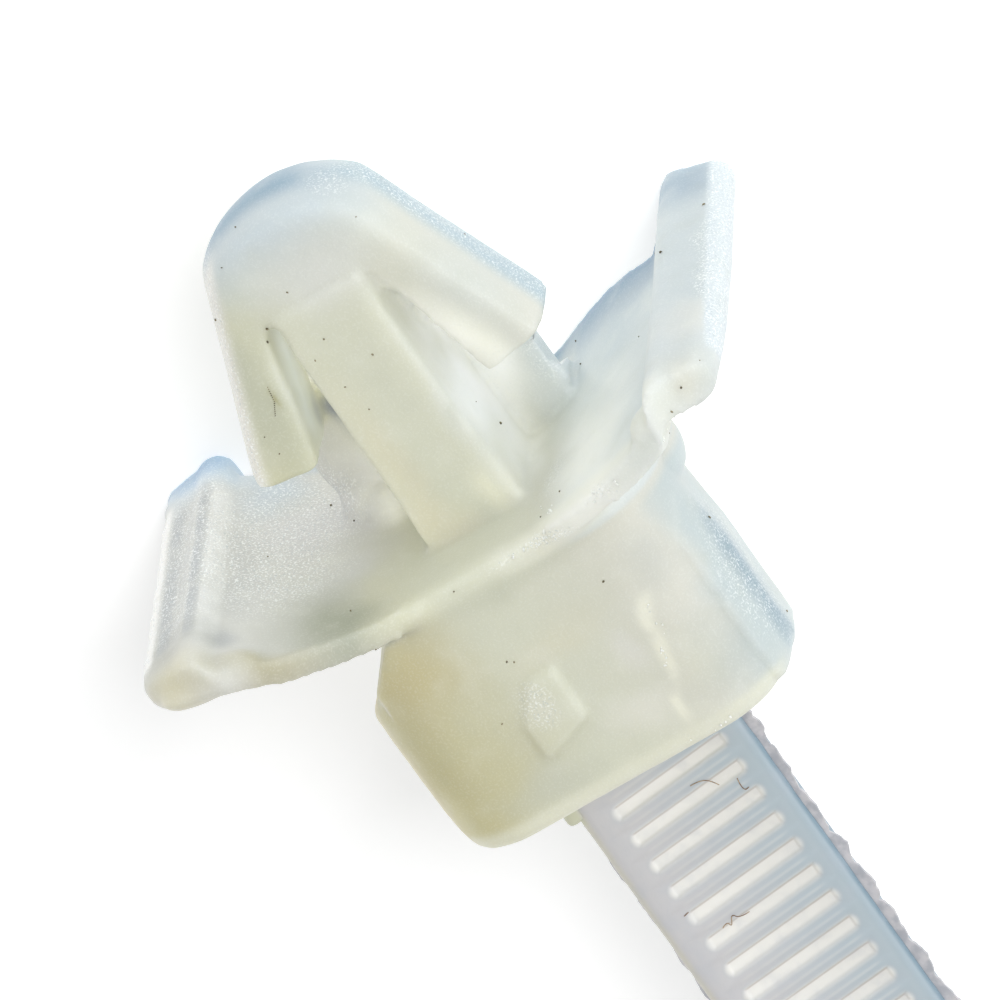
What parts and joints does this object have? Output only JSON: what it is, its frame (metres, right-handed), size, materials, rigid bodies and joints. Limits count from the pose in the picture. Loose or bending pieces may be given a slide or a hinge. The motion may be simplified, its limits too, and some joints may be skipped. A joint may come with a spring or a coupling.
{
  "type": "winged push-mount cable tie",
  "caption": "Moulded cable tie with an arrowhead push mount, sprung wings and a ladder strap that locks in a slot in its head.",
  "frame": {"origin": "on the arrow's axis, level with the crests of the wing beads, where the panel's face seats", "axes": "+X the way the arrow is pushed, Y along the wings, +Z out of the strap's toothed face, up as the tie lies on its back"},
  "size_m": [0.1566, 0.0168, 0.012],
  "materials": {
    "nylon": "natural nylon, milky and translucent, satin"
  },
  "bodies": {
    "root": {"cable_tie": "nylon"}
  },
  "joints": []
}
